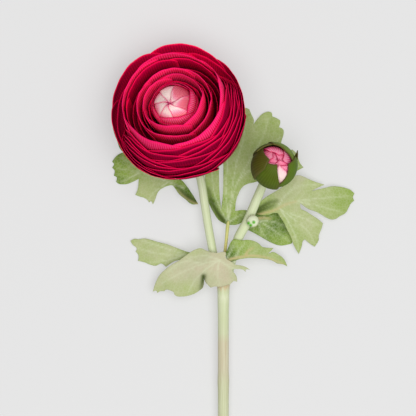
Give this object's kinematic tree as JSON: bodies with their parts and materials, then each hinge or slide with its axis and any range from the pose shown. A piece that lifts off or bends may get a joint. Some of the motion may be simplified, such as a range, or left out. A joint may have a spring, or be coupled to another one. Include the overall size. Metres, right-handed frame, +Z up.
{
  "type": "persian buttercup flower",
  "caption": "Cut ranunculus flowering stem lying flat: a many-petalled round crimson flower, a half-open bud, stalks and lobed leaves.",
  "frame": {"origin": "on the surface that the flower lies on, under the middle of its box", "axes": "+Y along the stem towards the flower, +X across it to the bud's side, +Z up from the surface"},
  "size_m": [0.1226, 0.2772, 0.0481],
  "materials": {
    "petal": "satin",
    "bud_petal": "satin",
    "sepal": "matte",
    "leaf": "matte",
    "stem": "matte",
    "leaf_stalk": "matte"
  },
  "bodies": {
    "root": {"bud_petal_1": "bud_petal", "bud_petal_2": "bud_petal", "bud_petal_3": "bud_petal", "bud_petal_4": "bud_petal", "bud_petal_5": "bud_petal", "bud_sepal_1": "sepal", "bud_sepal_2": "sepal", "bud_sepal_3": "sepal", "bud_sepal_4": "sepal", "bud_sepal_5": "sepal", "bud_stalk": "stem", "flower_stalk": "stem", "leaf_behind_bud": "leaf", "leaf_front": "leaf", "leaf_left": "leaf", "leaf_lower_left": "leaf", "leaf_lower_right": "leaf", "leaf_right": "leaf", "leaf_right_under": "leaf", "leaf_upper": "leaf", "main_stem": "stem", "petal_fifth_1": "petal", "petal_fifth_2": "petal", "petal_fifth_3": "petal", "petal_fifth_4": "petal", "petal_fourth_1": "petal", "petal_fourth_2": "petal", "petal_fourth_3": "petal", "petal_fourth_4": "petal", "petal_fourth_5": "petal", "petal_inner_1": "petal", "petal_inner_2": "petal", "petal_inner_3": "petal", "petal_inner_4": "petal", "petal_outer_1": "petal", "petal_outer_2": "petal", "petal_outer_3": "petal", "petal_outer_4": "petal", "petal_outer_5": "petal", "petal_outer_6": "petal", "petal_second_1": "petal", "petal_second_2": "petal", "petal_second_3": "petal", "petal_second_4": "petal", "petal_second_5": "petal", "petal_second_6": "petal", "petal_third_1": "petal", "petal_third_2": "petal", "petal_third_3": "petal", "petal_third_4": "petal", "petal_third_5": "petal", "receptacle": "stem", "sepal_1": "sepal", "sepal_2": "sepal", "sepal_3": "sepal", "sepal_4": "sepal", "sepal_5": "sepal", "side_bud": "stem", "upper_leaf_stalk": "leaf_stalk"}
  },
  "joints": []
}
